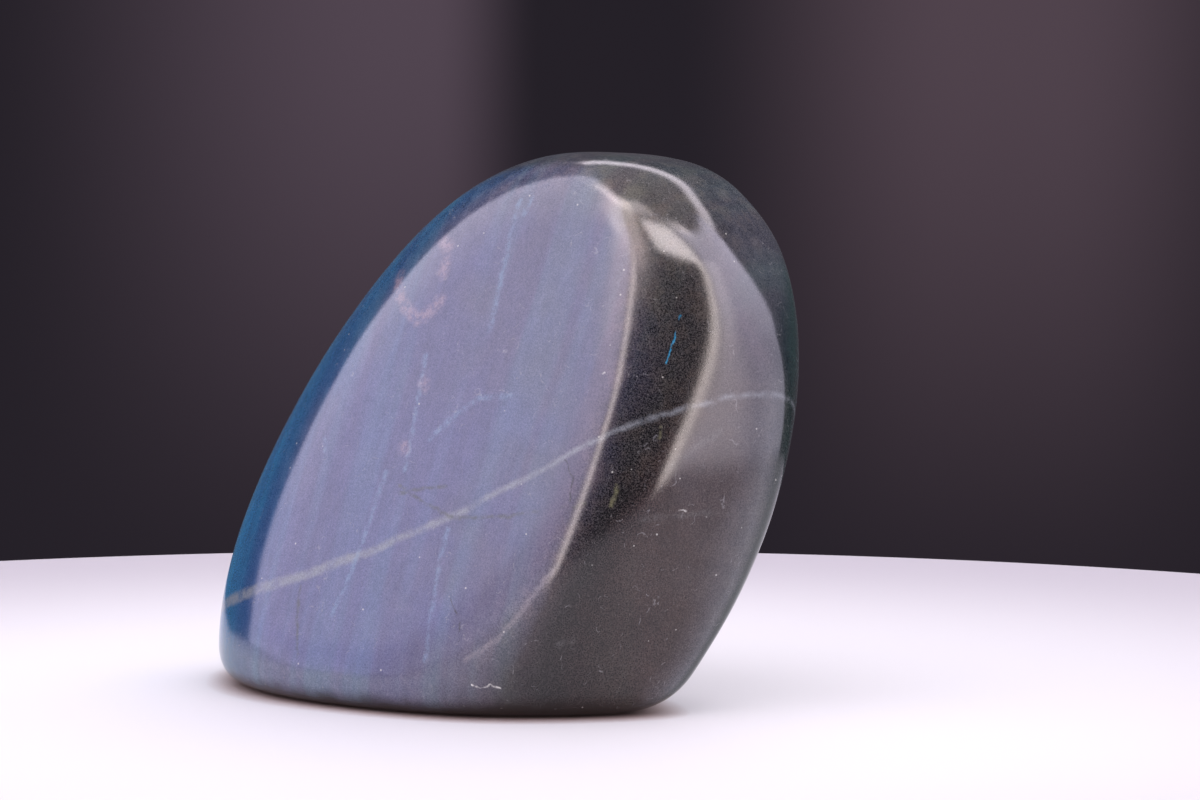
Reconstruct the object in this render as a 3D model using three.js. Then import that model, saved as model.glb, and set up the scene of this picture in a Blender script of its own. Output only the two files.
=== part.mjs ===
// A polished labradorite freeform: one solid stone, ground to a few broad faces and polished all
// over, that stands on a flat base cut across its lower end.
//
// Units are millimetres. X runs along the stone's width, Y through its thickness and Z up. The
// large main face looks along -Y and leans back a little. The origin is under the middle of the
// stone, on the surface that it stands on.

import * as THREE from 'three';
import { mergeVertices } from 'three/addons/utils/BufferGeometryUtils.js';

// The point inside the stone that every face is measured from.
const HEART = new THREE.Vector3(1.6, 0.57, 34);

// How wide the edge round the flat base is rounded.
const BASE_EDGE = 5;

// The ground faces, in the order that they cut the stone. For each one:
//   heading    degrees round from the front (-Y), positive towards +X
//   rise       degrees that it looks above the horizon
//   reach      distance from the heart to the face
//   bowAcross  radius of its bow from side to side
//   bowUp      radius of its bow from bottom to top
//   edge       width over which it is rounded into the faces before it
const FACES = {
  back: { heading: 181, rise: -8.5, reach: 19.8, bowAcross: 130, bowUp: 230, edge: 16 },
  rightFlank: { heading: 132, rise: -28.5, reach: 34.2, bowAcross: 500, bowUp: 185, edge: 11 },
  rightShoulder: { heading: 91.6, rise: 38, reach: 40.55, bowAcross: 2000, bowUp: 36, edge: 8.6 },
  crown: { heading: -87.5, rise: 71.3, reach: 32.3, bowAcross: 2000, bowUp: 55, edge: 2.1 },
  leftSlope: { heading: -55.5, rise: 33, reach: 23.1, bowAcross: 118, bowUp: 1650, edge: 16.5 },
  leftFoot: { heading: -42.5, rise: 10.5, reach: 32.1, bowAcross: 530, bowUp: 133, edge: 12 },
  main: { heading: 0, rise: 15, reach: 15.6, bowAcross: 182, bowUp: 1400, edge: 7.5 },
  backBevel: { heading: 230, rise: 25, reach: 28.6, bowAcross: 90, bowUp: 160, edge: 3 },
  backCrest: { heading: 163.4, rise: 37.3, reach: 37.15, bowAcross: 120, bowUp: 120, edge: 2.5 },
  rightSide: { heading: 57, rise: 3.6, reach: 32.85, bowAcross: 1200, bowUp: 108, edge: 3.6 },
  lowerRight: { heading: 20, rise: -8, reach: 30.5, bowAcross: 38, bowUp: 172, edge: 4.3 },
  bevel: { heading: 35.5, rise: 9.8, reach: 26.6, bowAcross: 366, bowUp: 183, edge: 1.6 },
  topFacet: { heading: 37.5, rise: 41.2, reach: 34.9, bowAcross: 93, bowUp: 84, edge: 2.4 },
};

// The mesh starts as an egg of about the stone's proportions, so that its triangles come out even.
const EGG = new THREE.Vector3(38, 22, 34);
const EGG_DETAIL = 20;
const LONGEST_REACH = 90;
const HALVINGS = 40;
const FLAT = 1e-5;

// How many times the triangles are evened out, and how strongly the ridges draw them in.
const EVENING_PASSES = 40;
const RIDGE_PULL = 8;

// The way a face looks, with the directions across it and up it.
function faceAxes({ heading, rise }) {
  const h = THREE.MathUtils.degToRad(heading);
  const r = THREE.MathUtils.degToRad(rise);
  const out = new THREE.Vector3(Math.sin(h) * Math.cos(r), -Math.cos(h) * Math.cos(r), Math.sin(r));
  const across = new THREE.Vector3(Math.cos(h), Math.sin(h), 0);
  return { out, across, up: new THREE.Vector3().crossVectors(across, out) };
}

const faces = Object.values(FACES).map((face) => ({ ...face, ...faceAxes(face) }));

// Height of a point, given from the heart, over one bowed face. It is below zero inside the stone.
function overFace(point, { out, across, up, reach, bowAcross, bowUp }) {
  const bow = point.dot(across) ** 2 / (2 * bowAcross) + point.dot(up) ** 2 / (2 * bowUp);
  return point.dot(out) - reach + bow;
}

// The greater of two heights, with the corner between them rounded over a width.
function rounded(a, b, width) {
  const near = Math.max(width - Math.abs(a - b), 0);
  return Math.max(a, b) + near ** 2 / (4 * width);
}

// Height of a point, given from the heart, over the whole stone.
function overStone(point) {
  let height = -Infinity;
  for (const face of faces) {
    const own = overFace(point, face);
    height = height === -Infinity ? own : rounded(height, own, face.edge);
  }
  return rounded(height, -(point.z + HEART.z), BASE_EDGE);
}

// How far the polished surface lies from the heart in one direction, found by halving.
function surfaceDistance(direction) {
  let inside = 0;
  let outside = LONGEST_REACH;
  const probe = new THREE.Vector3();
  for (let step = 0; step < HALVINGS; step += 1) {
    const middle = (inside + outside) / 2;
    probe.copy(direction).multiplyScalar(middle);
    if (overStone(probe) < 0) inside = middle;
    else outside = middle;
  }
  return (inside + outside) / 2;
}

// Moves a point along its ray from the heart to the polished surface.
function toSurface(point) {
  point.normalize();
  point.multiplyScalar(surfaceDistance(point));
}

// For every point, the points that share a triangle with it.
function findNeighbours(corners, count) {
  const neighbours = Array.from({ length: count }, () => new Set());
  for (let i = 0; i < corners.length; i += 3) {
    const [a, b, c] = corners.subarray(i, i + 3);
    neighbours[a].add(b).add(c);
    neighbours[b].add(c).add(a);
    neighbours[c].add(a).add(b);
  }
  return neighbours;
}

// The middle of a point's neighbours, each counted as many times as its weight says.
function middleOf(near, points, weights) {
  const sum = new THREE.Vector3();
  let total = 0;
  for (const n of near) {
    sum.addScaledVector(points[n], weights[n]);
    total += weights[n];
  }
  return sum.divideScalar(total);
}

// Moves every point towards the middle of its neighbours and back to the surface. Neighbours where
// the surface bends count for more, so that the triangles gather along the ridges.
function evenOut(points, neighbours) {
  const equal = points.map(() => 1);
  const bends = points.map((point, i) => middleOf(neighbours[i], points, equal).distanceTo(point));
  const weights = bends.map((bend) => 1 + RIDGE_PULL * bend);
  const middles = neighbours.map((near) => middleOf(near, points, weights));
  points.forEach((point, i) => toSurface(point.copy(middles[i])));
}

// The egg's points, each pushed out from the heart to the polished surface.
function stoneGeometry() {
  const egg = new THREE.IcosahedronGeometry(1, EGG_DETAIL);
  egg.deleteAttribute('normal');
  egg.deleteAttribute('uv');
  const geometry = mergeVertices(egg);
  geometry.scale(EGG.x, EGG.y, EGG.z);
  const position = geometry.attributes.position;
  const points = Array.from({ length: position.count }, (_, i) =>
    new THREE.Vector3().fromBufferAttribute(position, i),
  );
  const neighbours = findNeighbours(geometry.index.array, points.length);
  points.forEach(toSurface);
  for (let pass = 0; pass < EVENING_PASSES; pass += 1) evenOut(points, neighbours);
  points.forEach((point, i) => {
    point.add(HEART);
    position.setXYZ(i, point.x, point.y, Math.abs(point.z) < FLAT ? 0 : point.z);
  });
  geometry.computeVertexNormals();
  return geometry;
}

const stone = new THREE.Mesh(
  stoneGeometry(),
  new THREE.MeshStandardMaterial({ color: 0x3d4459, roughness: 0.12, metalness: 0 }),
);
stone.name = 'labradorite';

const model = new THREE.Group();
model.add(stone);

export default model;
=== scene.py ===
"""Looks for a polished labradorite freeform that stands on its flat base.

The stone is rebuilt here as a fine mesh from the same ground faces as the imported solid, with one
procedural material. Sizes are in millimetres until a mesh, light or camera is made from them.
"""

import math

import bpy
import numpy as np
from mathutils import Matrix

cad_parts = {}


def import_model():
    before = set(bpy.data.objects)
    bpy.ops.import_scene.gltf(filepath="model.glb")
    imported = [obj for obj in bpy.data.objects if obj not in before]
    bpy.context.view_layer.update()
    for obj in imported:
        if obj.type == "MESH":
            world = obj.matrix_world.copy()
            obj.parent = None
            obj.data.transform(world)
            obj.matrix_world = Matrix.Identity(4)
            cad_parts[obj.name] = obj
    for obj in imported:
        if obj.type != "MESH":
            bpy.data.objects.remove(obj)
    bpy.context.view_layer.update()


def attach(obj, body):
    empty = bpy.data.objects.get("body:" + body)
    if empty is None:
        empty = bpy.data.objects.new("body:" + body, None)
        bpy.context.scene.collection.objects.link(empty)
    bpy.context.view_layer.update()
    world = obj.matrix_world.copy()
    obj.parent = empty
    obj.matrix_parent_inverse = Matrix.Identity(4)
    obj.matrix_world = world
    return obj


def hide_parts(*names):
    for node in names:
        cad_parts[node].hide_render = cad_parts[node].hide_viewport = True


MM = 0.001
HALF_TURN = 180.0

# The point inside the stone that every face is measured from, and the edge round its base.
HEART = np.array([1.6, 0.57, 34.0])
BASE_EDGE = 5.0

# The ground faces, in the order that they cut the stone: the heading round from the front and the
# rise above the horizon that the face looks in, its reach from the heart, the radii of its bow
# across and up, and the width over which it is rounded into the faces before it.
FACES = {
    "back": dict(heading=181, rise=-8.5, reach=19.8, across=130, up=230, edge=16),
    "right_flank": dict(heading=132, rise=-28.5, reach=34.2, across=500, up=185, edge=11),
    "right_shoulder": dict(heading=91.6, rise=38, reach=40.55, across=2000, up=36, edge=8.6),
    "crown": dict(heading=-87.5, rise=71.3, reach=32.3, across=2000, up=55, edge=2.1),
    "left_slope": dict(heading=-55.5, rise=33, reach=23.1, across=118, up=1650, edge=16.5),
    "left_foot": dict(heading=-42.5, rise=10.5, reach=32.1, across=530, up=133, edge=12),
    "main": dict(heading=0, rise=15, reach=15.6, across=182, up=1400, edge=7.5),
    "back_bevel": dict(heading=230, rise=25, reach=28.6, across=90, up=160, edge=3),
    "back_crest": dict(heading=163.4, rise=37.3, reach=37.15, across=120, up=120, edge=2.5),
    "right_side": dict(heading=57, rise=3.6, reach=32.85, across=1200, up=108, edge=3.6),
    "lower_right": dict(heading=20, rise=-8, reach=30.5, across=38, up=172, edge=4.3),
    "bevel": dict(heading=35.5, rise=9.8, reach=26.6, across=366, up=183, edge=1.6),
    "top_facet": dict(heading=37.5, rise=41.2, reach=34.9, across=93, up=84, edge=2.4),
}

# The mesh starts as an egg of the stone's proportions, and its points are evened out on it.
EGG = np.array([38.0, 22.0, 34.0])
EGG_SPLITS = 7
LONGEST_REACH = 90.0
HALVINGS = 34
ROUGH_HALVINGS = 14
EVENING_PASSES = 24
RIDGE_PULL = 10.0
SLOPE_STEP = 0.01
FLAT = 1e-4

# The slight waves that hand polishing leaves: their depth, the range of their lengths, how many
# there are and the seed that they are drawn with.
WAVE_DEPTH = 0.018
WAVE_LENGTHS = (7.0, 16.0)
WAVES = 7
WAVE_SEED = 11

# The camera: where it stands, and how many degrees it is turned left from +Y and looks down.
CAMERA_AT = np.array([249.7, -331.0, 58.4])
CAMERA_LEFT = 35.0
CAMERA_DOWN = 3.0
LENS = 100.0
SENSOR = 36.0
NEAREST_SEEN = 10.0

# The round pale table. Its tone falls towards the rim from a distance on, as painted shade. Close to where
# the stone touches it, where little of the room is open to it, a painted contact shadow makes it darker and
# warmer.
TABLE_CENTRE = (3.5, -12.7)
TABLE_RADIUS = 198.0
TABLE_THICK = 14.0
TABLE_SIDES = 256
TABLE_EDGE = 2.0
TABLE_EDGE_STEPS = 4
TABLE_ROUGHNESS = 0.8
TABLE_TONE = (0.745, 0.73, 0.775)
TABLE_RIM_PAINTED_SHADE = (0.42, 0.39, 0.45)
TABLE_PAINTED_SHADE_FROM = 50.0
CONTACT_SHADOW_TONE = (0.38, 0.25, 0.24)
CONTACT_SHADOW_REACH = 3.2
CONTACT_SHADOW_OPEN = (0.2, 0.8)


def face_axes(face):
    """The way a face looks, with the directions across it and up it."""
    h, r = math.radians(face["heading"]), math.radians(face["rise"])
    out = np.array([math.sin(h) * math.cos(r), -math.cos(h) * math.cos(r), math.sin(r)])
    across = np.array([math.cos(h), math.sin(h), 0.0])
    return out, across, np.cross(across, out)


AXES = {name: face_axes(face) for name, face in FACES.items()}


def over_face(points, name):
    """Height of points, given from the heart, over one bowed face."""
    face = FACES[name]
    out, across, up = AXES[name]
    bow = (points @ across) ** 2 / (2 * face["across"]) + (points @ up) ** 2 / (2 * face["up"])
    return points @ out - face["reach"] + bow


def rounded(a, b, width):
    """The greater of two heights, with the corner between them rounded over a width."""
    near = np.maximum(width - np.abs(a - b), 0.0)
    return np.maximum(a, b) + near**2 / (4 * width)


def make_waves():
    """Random directions, lengths and phases for the polishing waves."""
    rng = np.random.default_rng(WAVE_SEED)
    ways = rng.normal(size=(WAVES, 3))
    ways /= np.linalg.norm(ways, axis=1, keepdims=True)
    lengths = rng.uniform(*WAVE_LENGTHS, size=(WAVES, 1))
    return ways * 2 * math.pi / lengths, rng.uniform(0, 2 * math.pi, WAVES)


WAVE_WAYS, WAVE_PHASES = make_waves()


def over_stone(points):
    """Height of points, given from the heart, over the whole stone. It is below zero inside."""
    height = None
    for name, face in FACES.items():
        own = over_face(points, name)
        height = own if height is None else rounded(height, own, face["edge"])
    ripple = np.sin(points @ WAVE_WAYS.T + WAVE_PHASES).mean(axis=1)
    height = height + WAVE_DEPTH * (1 + ripple)
    return rounded(height, -(points[:, 2] + HEART[2]), BASE_EDGE)


def to_surface(points, halvings=HALVINGS):
    """Points moved along their rays from the heart to the polished surface, by halving."""
    rays = points / np.linalg.norm(points, axis=1, keepdims=True)
    inside = np.zeros(len(rays))
    outside = np.full(len(rays), LONGEST_REACH)
    for _ in range(halvings):
        middle = (inside + outside) / 2
        within = over_stone(rays * middle[:, None]) < 0
        inside = np.where(within, middle, inside)
        outside = np.where(within, outside, middle)
    return rays * ((inside + outside) / 2)[:, None]


def outward(points):
    """The directions that the surface looks in at points given from the heart."""
    steps = np.eye(3) * SLOPE_STEP
    slope = np.stack([over_stone(points + s) - over_stone(points - s) for s in steps], axis=1)
    return slope / np.linalg.norm(slope, axis=1, keepdims=True)


def middle_of_neighbours(points, pairs, weights):
    """The middle of each point's neighbours, each counted as its weight says."""
    total = np.zeros((len(points), 4))
    weighted = np.column_stack([points * weights[:, None], weights])
    np.add.at(total, pairs[:, 0], weighted[pairs[:, 1]])
    np.add.at(total, pairs[:, 1], weighted[pairs[:, 0]])
    return total[:, :3] / total[:, 3:]


def even_out(points, pairs):
    """Moves points towards the middle of their neighbours and gathers them along the ridges."""
    equal = np.ones(len(points))
    for _ in range(EVENING_PASSES):
        bend = np.linalg.norm(middle_of_neighbours(points, pairs, equal) - points, axis=1)
        moved = middle_of_neighbours(points, pairs, 1 + RIDGE_PULL * bend)
        points = to_surface(moved, ROUGH_HALVINGS)
    return to_surface(points)


def build_stone():
    """The fine mesh of the stone, with the exact surface directions as its normals."""
    bpy.ops.mesh.primitive_ico_sphere_add(subdivisions=EGG_SPLITS, radius=1.0)
    stone = bpy.context.object
    stone.name = "stone"
    mesh = stone.data
    points = np.zeros(len(mesh.vertices) * 3)
    mesh.vertices.foreach_get("co", points)
    pairs = np.zeros(len(mesh.edges) * 2, int)
    mesh.edges.foreach_get("vertices", pairs)
    points = even_out(to_surface(points.reshape(-1, 3) * EGG), pairs.reshape(-1, 2))
    normals = outward(points)
    placed = points + HEART
    placed[np.abs(placed[:, 2]) < FLAT, 2] = 0.0
    mesh.vertices.foreach_set("co", (placed * MM).ravel())
    mesh.update()
    mesh.shade_smooth()
    mesh.normals_split_custom_set_from_vertices([tuple(n) for n in normals])
    return stone


class Nodes:
    """Adds nodes to one tree. An input may be a socket of another node or a plain value."""

    def __init__(self, tree):
        self.tree = tree
        tree.nodes.clear()

    def feed(self, socket, value):
        """Links an input to another node's socket, or sets it. Plain colours get full cover."""
        if isinstance(value, bpy.types.NodeSocket):
            self.tree.links.new(value, socket)
        elif socket.type == "RGBA":
            socket.default_value = (*value, 1.0)
        else:
            socket.default_value = value

    def add(self, kind, inputs=None, **settings):
        node = self.tree.nodes.new(kind)
        for key, value in settings.items():
            setattr(node, key, value)
        for key, value in (inputs or {}).items():
            self.feed(node.inputs[key], value)
        return node

    def math(self, operation, *values):
        inputs = dict(enumerate(values))
        return self.add("ShaderNodeMath", inputs, operation=operation).outputs[0]

    def vector(self, operation, *values):
        inputs = dict(enumerate(values))
        node = self.add("ShaderNodeVectorMath", inputs, operation=operation)
        return node.outputs["Value" if operation in ("DOT_PRODUCT", "LENGTH") else "Vector"]

    def scaled(self, vector, scale):
        node = self.add("ShaderNodeVectorMath", {"Vector": vector, "Scale": scale}, operation="SCALE")
        return node.outputs["Vector"]

    def step(self, value, start, end):
        """A smooth step from nothing at start to one at end. Start may be the greater."""
        low, high = (0.0, 1.0) if start < end else (1.0, 0.0)
        ends = sorted((start, end))
        inputs = {"Value": value, "From Min": ends[0], "From Max": ends[1], "To Min": low, "To Max": high}
        node = self.add("ShaderNodeMapRange", inputs, interpolation_type="SMOOTHSTEP")
        return node.outputs["Result"]

    def mix(self, share, first, second):
        """The first colour where the share is nothing, and the second where it is one."""
        node = self.add("ShaderNodeMix", data_type="RGBA", clamp_factor=True)
        values = {"Factor_Float": share, "A_Color": first, "B_Color": second}
        for socket in node.inputs:
            if socket.identifier in values:
                self.feed(socket, values[socket.identifier])
        return next(s for s in node.outputs if s.identifier == "Result_Color")

    def noise(self, at, scale, detail=2.0, roughness=0.5):
        inputs = {"Vector": at, "Scale": scale, "Detail": detail, "Roughness": roughness}
        return self.add("ShaderNodeTexNoise", inputs).outputs["Fac"]


# The middle of what runs from nothing to one, as noise does.
MIDDLE = 0.5

# The thin layers inside the stone: the direction across them, and one that runs roughly along them.
LAYER_ACROSS = np.array([0.987, 0.05, -0.157])
LAYER_ALONG = np.array([0.14, 0.25, 0.96])

# The gloss of the polish: its least roughness, and what noise, a coarse finish and pits add to it.
STONE_IOR = 1.56
ROUGHNESS = dict(least=0.05, noise=0.10, coarse=0.05, pits=0.3)
ROUGHNESS_NOISE = dict(scale=1.3, detail=2.0, roughness=0.7)
BUMP_DEPTH = 0.004

# Where the finish is coarse: on the bevel, by heading and rise, and on what looks up.
BEVEL_STARTS = (10.0, 26.0)
BEVEL_ENDS = (60.0, 44.0)
BEVEL_RISES = (-9.0, 3.0)
COARSE_TOP = (22.0, 42.0)
COARSE_MOST = 0.85

# The rises over which the colours of the underside, the crown and the very top give way to each
# other, and how many degrees soft noise shifts the borders between colours.
UNDERSIDE_ENDS = (-3.0, 11.0)
CROWN_STARTS = (9.0, 30.0)
TOP_STARTS = (46.0, 66.0)
TOP_SHARE = 0.9
DRIFT = 6.0
DRIFT_SCALE = 0.11

# What varies the body colour: bands and threads that follow the layers, and clouds. The slowness
# says how slowly the noise runs along the layers. The brightness is an even part with a part of each.
BANDS = dict(scale=0.22, detail=2.0, roughness=0.6)
BANDS_SLOWNESS = 0.07
THREADS = dict(scale=1.2, detail=3.0, roughness=0.65)
THREADS_SLOWNESS = 0.16
CLOUDS = dict(scale=0.45, detail=4.0, roughness=0.65)
BRIGHTNESS = dict(even=0.24, bands=0.52, threads=0.42, clouds=0.58, coarse_clouds=1.5)

# Tints of the brighter bands and of the thicker clouds, with the range of noise that they come in over.
SLATE_TINT = (0.92, 1.15, 1.04)
SLATE_FROM = (0.42, 0.66)
OLIVE_TINT = (1.12, 1.02, 0.88)
OLIVE_FROM = (0.44, 0.60)

# The fine grain of the polish, the dark pits and pale specks in it, and the rare nicks. A pair of
# amounts is for a fine and for a fully coarse finish.
GRAIN = dict(scale=5.8, detail=2.0, roughness=0.8)
GRAIN_DEPTH = 1.1
GRAIN_TONE = (0.14, 0.13, 0.12)
DARKEST = (0.003, 0.003, 0.004)
PITS = dict(scale=6.4, detail=3.0, roughness=0.75)
PITS_FROM = (0.43, 0.33)
PIT_TONE = (0.004, 0.004, 0.005)
SPECKS_FROM = (0.62, 0.72)
SPECK_TONE = (0.34, 0.32, 0.31)
OLIVE_AMOUNTS = (0.25, 1.0)
GRAIN_AMOUNTS = (0.9, 1.4)
PIT_AMOUNTS = (0.10, 0.75)
SPECK_AMOUNTS = (0.25, 0.60)
NICK_CELLS = 0.55
NICK_RADIUS = (0.085, 0.04)
NICK_CHANCE = (0.70, 0.78)
NICK_SHARE = 0.7
NICK_TONE = (0.52, 0.50, 0.48)

# The painted shade at the stone's foot, where it curves under towards the table: the heights over which it
# ends, and how far noise shifts them.
FOOT_PAINTED_SHADE = (0.006, 0.003, 0.002)
FOOT_SHADE_ENDS = (1.2, 4.2)
FOOT_SHADE_SHIFT = 2.0
FOOT_SHADE_NOISE = dict(scale=0.25, detail=3.0)

# Colours of the stone by the heading that the surface looks in, with the flash of its layers painted in:
# blue where it looks left, slate and violet in front, almost black at the bevel and teal at the right.
PAINTED_FLASH = (
    (-180, (0.045, 0.060, 0.085)),
    (-120, (0.030, 0.095, 0.160)),
    (-80, (0.006, 0.170, 0.420)),
    (-56, (0.004, 0.250, 0.600)),
    (-45, (0.004, 0.170, 0.400)),
    (-34, (0.014, 0.090, 0.215)),
    (-24, (0.024, 0.060, 0.165)),
    (-13, (0.094, 0.096, 0.212)),
    (1, (0.078, 0.082, 0.190)),
    (8, (0.070, 0.063, 0.122)),
    (17, (0.088, 0.072, 0.122)),
    (27, (0.052, 0.043, 0.073)),
    (35, (0.028, 0.025, 0.040)),
    (41, (0.024, 0.022, 0.025)),
    (49, (0.031, 0.026, 0.027)),
    (59, (0.066, 0.056, 0.070)),
    (70, (0.088, 0.074, 0.098)),
    (84, (0.046, 0.048, 0.060)),
    (94, (0.014, 0.024, 0.031)),
    (108, (0.006, 0.028, 0.028)),
    (140, (0.024, 0.040, 0.046)),
    (180, (0.045, 0.060, 0.085)),
)

# Colours of the stone with its painted flash where the surface looks up and where it looks down, by
# heading.
CROWN_PAINTED_FLASH = (
    (-180, (0.050, 0.055, 0.075)),
    (-110, (0.030, 0.070, 0.120)),
    (-70, (0.015, 0.145, 0.330)),
    (-53, (0.018, 0.155, 0.360)),
    (-42, (0.016, 0.095, 0.240)),
    (-30, (0.018, 0.070, 0.180)),
    (-21, (0.040, 0.078, 0.170)),
    (-11, (0.090, 0.092, 0.160)),
    (5, (0.098, 0.096, 0.150)),
    (28, (0.070, 0.060, 0.068)),
    (41, (0.062, 0.053, 0.057)),
    (50, (0.042, 0.036, 0.038)),
    (62, (0.046, 0.040, 0.044)),
    (92, (0.058, 0.058, 0.077)),
    (180, (0.050, 0.055, 0.075)),
)
UNDERSIDE_PAINTED_FLASH = (
    (-180, (0.050, 0.055, 0.065)),
    (-60, (0.012, 0.090, 0.190)),
    (-34, (0.030, 0.085, 0.170)),
    (-16, (0.130, 0.136, 0.220)),
    (5, (0.122, 0.122, 0.200)),
    (20, (0.090, 0.083, 0.117)),
    (31, (0.038, 0.030, 0.036)),
    (40, (0.014, 0.011, 0.013)),
    (48, (0.020, 0.012, 0.013)),
    (56, (0.040, 0.026, 0.026)),
    (65, (0.072, 0.063, 0.072)),
    (75, (0.104, 0.104, 0.119)),
    (88, (0.030, 0.038, 0.040)),
    (100, (0.010, 0.022, 0.022)),
    (180, (0.050, 0.055, 0.065)),
)

# Body colour of the very top.
TOP_TONE = (0.046, 0.047, 0.060)

# The pale vein is a thin curved sheet: its height over the base by x, y and x squared, in
# millimetres, half its width, the softness of its border and how it thins towards +X. Noise bends
# it, frays its border and breaks it up.
VEIN_SHEET = dict(base=14.45, x=0.42, y=-0.298, xx=0.0049)
VEIN_HALF = 0.52
VEIN_SOFT = 0.44
VEIN_THINS = 0.008
VEIN_BEND = dict(scale=0.15, depth=1.0)
VEIN_FRAY = dict(scale=1.6, detail=4.0, roughness=0.7)
VEIN_FRAY_WIDTH = 0.4
VEIN_GAPS = dict(scale=0.5, detail=3.0)
VEIN_GAPS_FROM = (0.15, 0.62)
VEIN_SHARE = 0.8
VEIN_TONE = (0.205, 0.215, 0.245)

# Marks on the stone: the points that each runs through in millimetres.
FRACTURES = (
    ((0.9, -17.6, 26.2), (3.8, -17.4, 26.9), (7.6, -17.2, 27.3)),
    ((0.7, -17.3, 27.2), (4.7, -17.8, 25.3), (9.4, -18.1, 23.7), (17.2, -17.4, 24.3), (26.4, -15.2, 25.9)),
    ((-12.8, -20.0, 14.4), (-12.4, -21.0, 10.4), (-11.5, -22.0, 6.1)),
)
PALE_LINES = (
    ((31.3, -10.9, 24.1), (35.5, -4.6, 24.7), (39.0, 3.0, 24.2)),
    ((33.6, -8.5, 30.1), (35.2, -6.3, 31.9), (37.3, -3.0, 34.2)),
    ((23.2, -16.1, 9.4), (24.5, -15.1, 9.9)),
)
CRACKS = (
    ((10.6, -20.3, 14.5), (11.6, -20.6, 13.1), (12.3, -20.7, 11.8), (12.3, -21.0, 9.4)),
    ((23.4, -15.0, 31.0), (24.8, -15.3, 29.0), (24.7, -15.8, 26.4)),
    ((30.6, -5.0, 56.7), (32.0, -3.6, 57.0)),
    ((33.0, -1.2, 57.6), (33.4, -0.8, 58.3)),
    ((35.3, -6.2, 37.4), (34.8, -7.0, 35.5)),
)
PALE_STREAKS = (
    ((12.8, -7.0, 61.9), (12.5, -8.0, 59.8)),
    ((-12.7, -15.3, 32.3), (-12.1, -15.8, 30.8)),
    ((-1.8, -16.9, 28.6), (-3.4, -18.8, 21.4), (-4.7, -19.9, 16.8), (-6.8, -21.1, 11.5)),
    ((8.8, -18.4, 22.5), (8.3, -19.4, 18.8), (8.2, -20.8, 12.9), (8.1, -21.8, 7.1)),
    ((1.4, -13.2, 42.7), (1.4, -15.3, 35.0), (1.0, -16.9, 29.0)),
    ((11.2, -7.2, 61.4), (10.9, -9.8, 54.2), (10.4, -12.1, 45.9)),
    ((4.1, -15.8, 32.9), (7.3, -15.0, 35.7), (10.5, -14.3, 37.9), (14.7, -13.9, 38.2)),
)
# A painted highlight: a pale pinkish line along the lower right edge of the front face.
PAINTED_RIDGE_HIGHLIGHT = (
    ((23.2, -17.3, 18.2), (20.3, -18.6, 13.9), (17.2, -19.8, 10.1), (15.3, -20.3, 8.7), (13.4, -20.8, 7.4)),
)
# A painted flash: a thin bright blue streak where the layers flash.
PAINTED_FLASH_STREAK = (((33.5, -5.8, 48.0), (33.2, -6.7, 45.0), (32.7, -7.7, 42.4)),)
PINK_SPOTS = (
    ((2.1, -9.9, 54.0), (1.9, -10.4, 52.4)),
    ((-5.7, -9.1, 52.2), (-5.2, -10.2, 50.5), (-3.2, -11.4, 48.6), (-0.6, -12.1, 46.9)),
    ((0.6, -8.7, 56.4), (1.9, -9.1, 55.9), (1.4, -8.9, 55.3)),
    ((2.3, -11.4, 49.4), (1.8, -11.6, 48.5), (-0.6, -12.1, 46.9)),
    ((1.9, -14.1, 39.4), (1.9, -14.1, 39.2)),
    ((0.4, -16.2, 31.7), (0.4, -16.2, 31.5)),
)
CHIPS = (
    ((13.8, -20.5, 4.5), (14.7, -20.0, 4.1), (15.9, -19.6, 4.6), (16.9, -19.0, 4.1)),
    ((26.3, -12.0, 41.0), (26.8, -11.7, 41.2)),
    ((35.6, -3.3, 49.5), (35.7, -3.2, 49.1)),
    ((34.0, -6.5, 44.3), (33.7, -6.8, 43.9)),
    ((34.1, -6.8, 25.1), (34.8, -6.2, 25.0)),
)
FLECKS = (
    ((29.4, -12.9, 28.0), (29.0, -13.4, 25.8)),
    ((33.1, -9.2, 34.8), (33.0, -9.4, 33.8)),
)

# How each kind of mark looks: half its width, the softness of its border, its colour, how strongly
# it covers the stone, and how much it is broken up.
MARKS = (
    (PALE_STREAKS, 0.02, 0.60, (0.16, 0.25, 0.38), 0.42, 0.8),
    (PALE_LINES, 0.05, 0.65, (0.13, 0.13, 0.135), 0.22, 0.7),
    (PAINTED_RIDGE_HIGHLIGHT, 0.02, 0.55, (0.27, 0.24, 0.27), 0.45, 0.3),
    (PAINTED_FLASH_STREAK, 0.01, 0.17, (0.02, 0.24, 0.44), 0.85, 0.1),
    (FRACTURES, 0.02, 0.40, (0.050, 0.055, 0.045), 0.65, 0.7),
    (CRACKS, 0.02, 0.18, (0.008, 0.008, 0.010), 0.85, 0.4),
    (PINK_SPOTS, 0.20, 1.10, (0.34, 0.24, 0.29), 0.50, 0.8),
    (FLECKS, 0.02, 0.45, (0.24, 0.23, 0.13), 0.60, 0.7),
    (CHIPS, 0.01, 0.18, (0.75, 0.72, 0.70), 0.90, 0.5),
)
MARK_BEND = dict(scale=0.9, depth=0.7)
MARK_GAPS = dict(scale=1.1, detail=3.0, roughness=0.7)
MARK_GAPS_FROM = (0.38, 0.58)

# Fine hairlines run where a soft noise crosses its middle value, and only here and there.
HAIRLINES = dict(scale=0.16, detail=2.0)
HAIRLINE_WIDTH = (0.005, 0.001)
HAIRLINE_PLACES = (0.50, 0.62)
HAIRLINE_SHARE = 0.35
HAIRLINE_TONE = (0.30, 0.29, 0.31)


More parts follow.
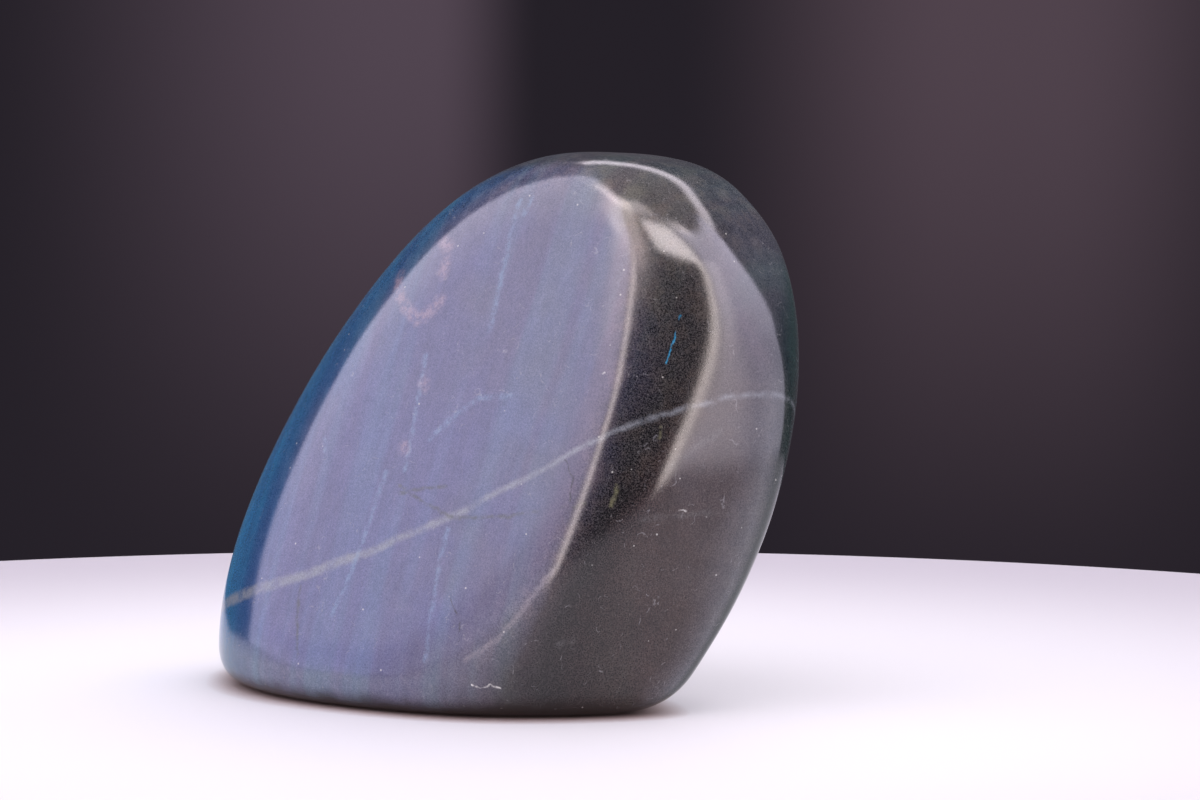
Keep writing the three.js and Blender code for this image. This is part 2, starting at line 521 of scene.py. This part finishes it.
def segment_group():
    """A node group that gives a point's distance from the stretch between two points."""
    tree = bpy.data.node_groups.new("distance_from_line", "ShaderNodeTree")
    for name in ("At", "Start", "Span"):
        tree.interface.new_socket(name, in_out="INPUT", socket_type="NodeSocketVector")
    tree.interface.new_socket("Distance", in_out="OUTPUT", socket_type="NodeSocketFloat")
    n = Nodes(tree)
    given = n.add("NodeGroupInput").outputs
    offset = n.vector("SUBTRACT", given["At"], given["Start"])
    along = n.vector("DOT_PRODUCT", offset, given["Span"])
    length = n.vector("DOT_PRODUCT", given["Span"], given["Span"])
    share = n.math("MAXIMUM", n.math("MINIMUM", n.math("DIVIDE", along, length), 1.0), 0.0)
    nearest = n.vector("SUBTRACT", offset, n.scaled(given["Span"], share))
    n.add("NodeGroupOutput", {"Distance": n.vector("LENGTH", nearest)})
    return tree


def distance_from_lines(n, group, at, lines):
    """The distance from a point to the nearest of several lines."""
    nearest = None
    for line in lines:
        for start, end in zip(line, line[1:]):
            inputs = {"At": at, "Start": start, "Span": tuple(np.subtract(end, start))}
            own = n.add("ShaderNodeGroup", inputs, node_tree=group).outputs["Distance"]
            nearest = own if nearest is None else n.math("MINIMUM", nearest, own)
    return nearest


def colour_ramp(n, value, stops):
    """A smooth ramp of colours over a value. Stops are pairs of a value and a colour."""
    first, last = stops[0][0], stops[-1][0]
    inputs = {"Value": value, "From Min": first, "From Max": last}
    share = n.add("ShaderNodeMapRange", inputs).outputs["Result"]
    node = n.add("ShaderNodeValToRGB", {"Fac": share})
    ramp = node.color_ramp
    while len(ramp.elements) < len(stops):
        ramp.elements.new(MIDDLE)
    for element, (place, colour) in zip(ramp.elements, stops):
        element.position = (place - first) / (last - first)
        element.color = (*colour, 1.0)
    return node.outputs["Color"]


def layer_coordinates(n, at, slowness):
    """Coordinates that run slowly along the stone's inner layers and at full rate across them."""
    along = LAYER_ALONG - LAYER_ACROSS * (LAYER_ALONG @ LAYER_ACROSS)
    along /= np.linalg.norm(along)
    beside = np.cross(LAYER_ACROSS, along)
    parts = (
        n.vector("DOT_PRODUCT", at, tuple(LAYER_ACROSS)),
        n.math("MULTIPLY", n.vector("DOT_PRODUCT", at, tuple(beside)), slowness),
        n.math("MULTIPLY", n.vector("DOT_PRODUCT", at, tuple(along)), slowness),
    )
    return n.add("ShaderNodeCombineXYZ", dict(enumerate(parts))).outputs[0]


def bent(n, at, scale, depth):
    """Coordinates pushed about by soft noise, so that what is drawn with them isn't straight."""
    noise = n.add("ShaderNodeTexNoise", {"Vector": at, "Scale": scale}).outputs["Color"]
    push = n.vector("SUBTRACT", noise, (MIDDLE, MIDDLE, MIDDLE))
    return n.vector("ADD", at, n.scaled(push, depth))


def vein_share(n, at):
    """How much of the pale vein shows at a point."""
    split = n.add("ShaderNodeSeparateXYZ", {0: bent(n, at, **VEIN_BEND)}).outputs
    sheet = n.math("MULTIPLY_ADD", split["X"], VEIN_SHEET["xx"], VEIN_SHEET["x"])
    sheet = n.math("MULTIPLY_ADD", sheet, split["X"], VEIN_SHEET["base"])
    sheet = n.math("MULTIPLY_ADD", split["Y"], VEIN_SHEET["y"], sheet)
    frayed = n.math("MULTIPLY_ADD", n.noise(at, **VEIN_FRAY), 2 * VEIN_FRAY_WIDTH, -VEIN_FRAY_WIDTH)
    off = n.math("ABSOLUTE", n.math("SUBTRACT", split["Z"], sheet))
    off = n.math("MULTIPLY_ADD", split["X"], VEIN_THINS, off)
    band = n.step(n.math("ADD", off, frayed), VEIN_HALF + VEIN_SOFT, VEIN_HALF - VEIN_SOFT)
    return n.math("MULTIPLY", band, n.step(n.noise(at, **VEIN_GAPS), *VEIN_GAPS_FROM))


def by_finish(n, coarse, amounts):
    """An amount that goes from its value for a fine finish to the one for a coarse finish."""
    fine_amount, coarse_amount = amounts
    return n.math("MULTIPLY_ADD", coarse, coarse_amount - fine_amount, fine_amount)


def painted_flash_colour(n, at, turn, rise):
    """The stone's colour with the flash of its layers painted in, by the heading and rise that the surface
    looks in.
    """
    drift = n.math("MULTIPLY_ADD", n.noise(at, DRIFT_SCALE), 2 * DRIFT, -DRIFT)
    turn = n.math("ADD", turn, drift)
    rise = n.math("ADD", rise, drift)
    below, ahead = colour_ramp(n, turn, UNDERSIDE_PAINTED_FLASH), colour_ramp(n, turn, PAINTED_FLASH)
    colour = n.mix(n.step(rise, *UNDERSIDE_ENDS), below, ahead)
    colour = n.mix(n.step(rise, *CROWN_STARTS), colour, colour_ramp(n, turn, CROWN_PAINTED_FLASH))
    return n.mix(n.math("MULTIPLY", n.step(rise, *TOP_STARTS), TOP_SHARE), colour, TOP_TONE)


def body_and_painted_flash_colour(n, at, turn, rise, coarse):
    """The stone's colour under the polish, with its painted flash and with bands, threads and clouds."""
    colour = painted_flash_colour(n, at, turn, rise)
    bands = n.noise(layer_coordinates(n, at, BANDS_SLOWNESS), **BANDS)
    threads = n.noise(layer_coordinates(n, at, THREADS_SLOWNESS), **THREADS)
    clouds = n.noise(at, **CLOUDS)
    bright = n.math("MULTIPLY_ADD", bands, BRIGHTNESS["bands"], BRIGHTNESS["even"])
    bright = n.math("MULTIPLY_ADD", threads, BRIGHTNESS["threads"], bright)
    bright = n.math("MULTIPLY_ADD", clouds, BRIGHTNESS["clouds"], bright)
    mottle = n.math("MULTIPLY", coarse, BRIGHTNESS["coarse_clouds"])
    mottle = n.math("MULTIPLY", n.math("SUBTRACT", clouds, MIDDLE), mottle)
    colour = n.scaled(colour, n.math("ADD", bright, mottle))
    colour = n.mix(n.step(bands, *SLATE_FROM), colour, n.vector("MULTIPLY", colour, SLATE_TINT))
    earthy = n.math("MULTIPLY", n.step(clouds, *OLIVE_FROM), by_finish(n, coarse, OLIVE_AMOUNTS))
    return n.mix(earthy, colour, n.vector("MULTIPLY", colour, OLIVE_TINT))


def with_grain(n, colour, fine, dark, pits, coarse):
    """The colour with the fine grain of the polish and the pits and specks in it."""
    uneven = n.math("MULTIPLY", n.math("SUBTRACT", fine, MIDDLE), by_finish(n, coarse, GRAIN_AMOUNTS))
    colour = n.scaled(colour, n.math("MULTIPLY_ADD", uneven, GRAIN_DEPTH, 1.0))
    colour = n.vector("ADD", colour, n.scaled(GRAIN_TONE, uneven))
    colour = n.mix(dark, n.vector("MAXIMUM", colour, DARKEST), PIT_TONE)
    specks = n.math("MULTIPLY", n.step(pits, *SPECKS_FROM), by_finish(n, coarse, SPECK_AMOUNTS))
    return n.mix(specks, colour, SPECK_TONE)


def with_nicks(n, at, colour):
    """The colour with the rare pale nicks on it."""
    cells = n.add("ShaderNodeTexVoronoi", {"Vector": at, "Scale": NICK_CELLS}).outputs
    chance = n.add("ShaderNodeSeparateXYZ", {0: cells["Color"]}).outputs["X"]
    nicks = n.math("MULTIPLY", n.step(cells["Distance"], *NICK_RADIUS), n.step(chance, *NICK_CHANCE))
    return n.mix(n.math("MULTIPLY", nicks, NICK_SHARE), colour, NICK_TONE)


def with_marks(n, at, colour):
    """The colour with the vein, the fractures, the streaks, the chips and fine hairlines on it, with a
    painted highlight and a painted flash streak among the marks.
    """
    group = segment_group()
    bent_at = bent(n, at, **MARK_BEND)
    broken = n.noise(at, **MARK_GAPS)
    colour = n.mix(n.math("MULTIPLY", vein_share(n, at), VEIN_SHARE), colour, VEIN_TONE)
    for lines, half, soft, tone, strength, gaps in MARKS:
        off = distance_from_lines(n, group, bent_at, lines)
        share = n.math("MULTIPLY", n.step(off, half + soft, half), strength)
        whole = n.math("MULTIPLY_ADD", n.step(broken, *MARK_GAPS_FROM), gaps, 1.0 - gaps)
        colour = n.mix(n.math("MULTIPLY", share, whole), colour, tone)
    crossing = n.math("ABSOLUTE", n.math("SUBTRACT", n.noise(bent_at, **HAIRLINES), MIDDLE))
    hairlines = n.math("MULTIPLY", n.step(crossing, *HAIRLINE_WIDTH), n.step(broken, *HAIRLINE_PLACES))
    return n.mix(n.math("MULTIPLY", hairlines, HAIRLINE_SHARE), colour, HAIRLINE_TONE)


def coarseness(n, turn, rise):
    """How coarse the finish is where the surface has a heading and a rise."""
    bevel = n.math("MULTIPLY", n.step(turn, *BEVEL_STARTS), n.step(turn, *BEVEL_ENDS))
    bevel = n.math("MULTIPLY", bevel, n.step(rise, *BEVEL_RISES))
    return n.math("MULTIPLY", n.math("MAXIMUM", bevel, n.step(rise, *COARSE_TOP)), COARSE_MOST)


def with_foot_shade(n, at, colour):
    """The colour with painted shade at the foot of the stone."""
    height = n.add("ShaderNodeSeparateXYZ", {0: at}).outputs["Z"]
    height = n.math("MULTIPLY_ADD", n.noise(at, **FOOT_SHADE_NOISE), FOOT_SHADE_SHIFT, height)
    return n.mix(n.step(height, *FOOT_SHADE_ENDS), FOOT_PAINTED_SHADE, colour)


def stone_material():
    """The labradorite: a dark body with a painted blue flash, a pale vein and cleavage under a polish."""
    material = bpy.data.materials.new("labradorite")
    material.use_nodes = True
    n = Nodes(material.node_tree)
    coordinates = n.add("ShaderNodeTexCoord").outputs
    at = n.scaled(coordinates["Object"], 1 / MM)
    turn, rise = heading_of(n, coordinates["Normal"]), rise_of(n, coordinates["Normal"])
    coarse = coarseness(n, turn, rise)
    fine, pits = n.noise(at, **GRAIN), n.noise(at, **PITS)
    dark = n.math("MULTIPLY", n.step(pits, *PITS_FROM), by_finish(n, coarse, PIT_AMOUNTS))
    colour = with_marks(n, at, body_and_painted_flash_colour(n, at, turn, rise, coarse))
    colour = with_nicks(n, at, with_grain(n, colour, fine, dark, pits, coarse))

    gloss = n.math("MULTIPLY_ADD", n.noise(at, **ROUGHNESS_NOISE), ROUGHNESS["noise"], ROUGHNESS["least"])
    gloss = n.math("MULTIPLY_ADD", coarse, ROUGHNESS["coarse"], gloss)
    gloss = n.math("MULTIPLY_ADD", dark, ROUGHNESS["pits"], gloss)
    bump = n.add("ShaderNodeBump", {"Height": fine, "Strength": 1.0, "Distance": BUMP_DEPTH * MM})
    inputs = {"Base Color": with_foot_shade(n, at, colour), "Roughness": gloss, "IOR": STONE_IOR}
    inputs["Normal"] = bump.outputs[0]
    surface = n.add("ShaderNodeBsdfPrincipled", inputs).outputs[0]
    n.add("ShaderNodeOutputMaterial", {"Surface": surface})
    return material


def table_material():
    """Matt pale material of the table, with painted shade towards its rim and a painted contact shadow
    round the stone.
    """
    material = bpy.data.materials.new("pale_table")
    material.use_nodes = True
    n = Nodes(material.node_tree)
    at = n.add("ShaderNodeTexCoord").outputs["Object"]
    rim = n.step(n.vector("LENGTH", at), TABLE_PAINTED_SHADE_FROM * MM, TABLE_RADIUS * MM)
    colour = n.mix(rim, TABLE_TONE, TABLE_RIM_PAINTED_SHADE)
    # A painted contact shadow where little of the room is open.
    openness = n.add("ShaderNodeAmbientOcclusion", {"Distance": CONTACT_SHADOW_REACH * MM}, samples=1)
    colour = n.mix(n.step(openness.outputs["AO"], *CONTACT_SHADOW_OPEN), CONTACT_SHADOW_TONE, colour)
    inputs = {"Base Color": colour, "Roughness": TABLE_ROUGHNESS}
    surface = n.add("ShaderNodeBsdfPrincipled", inputs).outputs[0]
    n.add("ShaderNodeOutputMaterial", {"Surface": surface})
    return material


def build_table():
    """The round pale table that the stone stands on."""
    x, y = TABLE_CENTRE
    middle = (x * MM, y * MM, -TABLE_THICK / 2 * MM)
    bpy.ops.mesh.primitive_cylinder_add(
        vertices=TABLE_SIDES, radius=TABLE_RADIUS * MM, depth=TABLE_THICK * MM, location=middle
    )
    table = bpy.context.object
    table.name = "table"
    bevel = table.modifiers.new("edge", "BEVEL")
    bevel.width = TABLE_EDGE * MM
    bevel.segments = TABLE_EDGE_STEPS
    table.data.materials.append(table_material())


# The soft boxes round the table that the polish mirrors. Each one covers a span of headings and of
# rises, in degrees. Its light fades over a width at the start and the end of each.
SOFT_BOXES = {
    "left": dict(span=(-81.5, 11), rises=(-15, 74), fades=(2.5, 5, 3, 6), light=(1.65, 1.55, 2.1)),
    "left_high": dict(span=(-81.5, 11), rises=(16, 74), fades=(2.5, 6, 26, 6), light=(1.6, 1.5, 1.7)),
    "left_warm": dict(span=(-20, 8), rises=(30, 72), fades=(20, 6, 16, 8), light=(5.6, 4.5, 4.4)),
    "left_strip": dict(span=(14, 22), rises=(-15, 32), fades=(9, 5, 3, 8), light=(8.5, 7.4, 7.2)),
    "front_dim": dict(span=(8, 38), rises=(30, 76), fades=(4, 18, 9, 6), light=(6.0, 4.9, 4.6)),
    "front_top": dict(span=(47, 73), rises=(38.5, 60), fades=(5, 5, 2.5, 5), light=(11.5, 10.2, 10.4)),
    "front_line": dict(span=(-50, 76), rises=(66, 78), fades=(9, 6, 6, 4), light=(5.0, 4.3, 4.3)),
    "front_corner": dict(span=(78, 94), rises=(56, 62), fades=(4, 4, 5, 4), light=(8.0, 7.0, 7.2)),
    "right_strip": dict(span=(69, 74), rises=(-12, 39), fades=(3, 6, 3, 4), light=(8.0, 7.0, 6.7)),
    "right_glow": dict(span=(71, 92), rises=(-12, 40), fades=(4, 26, 16, 4), light=(2.4, 2.1, 2.1)),
    "right": dict(span=(76, 140), rises=(-12, 57), fades=(12, 3, 8, 3), light=(1.6, 1.5, 1.9)),
    "right_high": dict(span=(76, 140), rises=(24, 57), fades=(12, 3, 34, 3), light=(3.2, 2.9, 3.6)),
    "back": dict(span=(140, 234), rises=(47.5, 55.5), fades=(2, 5, 3, 3), light=(5.0, 4.5, 5.0)),
    "ceiling": dict(span=(-180, 180), rises=(60, 91), fades=(1, 1, 6, 1), light=(0.82, 0.71, 0.76)),
}
ROOM = (0.07, 0.065, 0.078)

# The daylight that falls on matt surfaces: an even part, and more from above the horizon on every
# side but the left.
DAYLIGHT = (0.56, 0.54, 0.57)
DAY_BOXES = {
    "sky": dict(span=(-70, 240), rises=(0, 80), fades=(60, 60, 20, 20), light=(1.05, 1.0, 1.05)),
}

# The backdrop that the camera sees: lighter bands of painted light stand for soft upright folds, and fade
# towards the table.
BACKDROP = (0.0185, 0.0150, 0.0210)
PAINTED_FOLD_LIGHT = {
    "left": dict(
        span=(-143.05, -137.8), rises=(-2, 91), fades=(1.9, 7.6, 12, 1), light=(0.065, 0.045, 0.060)
    ),
    "right": dict(
        span=(-155.05, -148.7), rises=(-2, 91), fades=(4.9, 5.0, 12, 1), light=(0.062, 0.041, 0.052)
    ),
}


def heading_of(n, way):
    """The heading of a direction in degrees."""
    split = n.add("ShaderNodeSeparateXYZ", {0: way}).outputs
    ahead = n.math("MULTIPLY", split["Y"], -1.0)
    return n.math("DEGREES", n.math("ARCTAN2", split["X"], ahead))


def rise_of(n, way):
    """How many degrees a direction looks above the horizon."""
    return n.math("DEGREES", n.math("ARCSINE", n.add("ShaderNodeSeparateXYZ", {0: way}).outputs["Z"]))


def soft_box_share(n, turn, rise, box):
    """How much of a soft box's light comes from a direction."""
    first, last = box["span"]
    lowest, highest = box["rises"]
    start, end, low, high = (fade / 2 for fade in box["fades"])
    share = n.step(rise, lowest - low, lowest + low)
    share = n.math("MULTIPLY", share, n.step(rise, highest + high, highest - high))
    half = (last - first) / 2
    if half == HALF_TURN:
        return share
    aside = n.math("SUBTRACT", turn, (first + last) / 2)
    aside = n.math("WRAP", aside, HALF_TURN, -HALF_TURN)
    share = n.math("MULTIPLY", share, n.step(aside, -half - start, -half + start))
    return n.math("MULTIPLY", share, n.step(aside, half + end, half - end))


def glow(n, turn, rise, ground, boxes):
    """The light that comes from a direction: an even ground with soft boxes on it."""
    total = ground
    for box in boxes.values():
        total = n.vector("ADD", n.scaled(box["light"], soft_box_share(n, turn, rise, box)), total)
    return total


def build_world():
    """The soft light on matt surfaces, the boxes that the polish mirrors and the plain backdrop."""
    world = bpy.data.worlds.new("studio")
    bpy.context.scene.world = world
    world.use_nodes = True
    n = Nodes(world.node_tree)
    way = n.add("ShaderNodeTexCoord").outputs["Generated"]
    turn, rise = heading_of(n, way), rise_of(n, way)
    rays = n.add("ShaderNodeLightPath").outputs
    glows = ((DAYLIGHT, DAY_BOXES), (ROOM, SOFT_BOXES), (BACKDROP, PAINTED_FOLD_LIGHT))
    falling, mirrored, seen = (
        n.add("ShaderNodeBackground", {"Color": glow(n, turn, rise, *parts)}).outputs[0] for parts in glows
    )
    light = n.add("ShaderNodeMixShader", {0: rays["Is Glossy Ray"], 1: falling, 2: mirrored}).outputs[0]
    light = n.add("ShaderNodeMixShader", {0: rays["Is Camera Ray"], 1: light, 2: seen}).outputs[0]
    n.add("ShaderNodeOutputWorld", {"Surface": light})


def build_camera():
    """The camera at the photograph's place, looking slightly down."""
    data = bpy.data.cameras.new("camera")
    data.lens = LENS
    data.sensor_width = SENSOR
    data.sensor_fit = "HORIZONTAL"
    data.clip_start = NEAREST_SEEN * MM
    camera = bpy.data.objects.new("camera", data)
    camera.location = CAMERA_AT * MM
    camera.rotation_euler = (math.radians(90 - CAMERA_DOWN), 0.0, math.radians(CAMERA_LEFT))
    bpy.context.collection.objects.link(camera)
    bpy.context.scene.camera = camera


def main():
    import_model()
    build_camera()
    stone = build_stone()
    stone.data.materials.append(stone_material())
    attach(stone, "root")
    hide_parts("labradorite")
    build_table()
    build_world()
    bpy.context.scene.view_settings.view_transform = "Standard"


main()
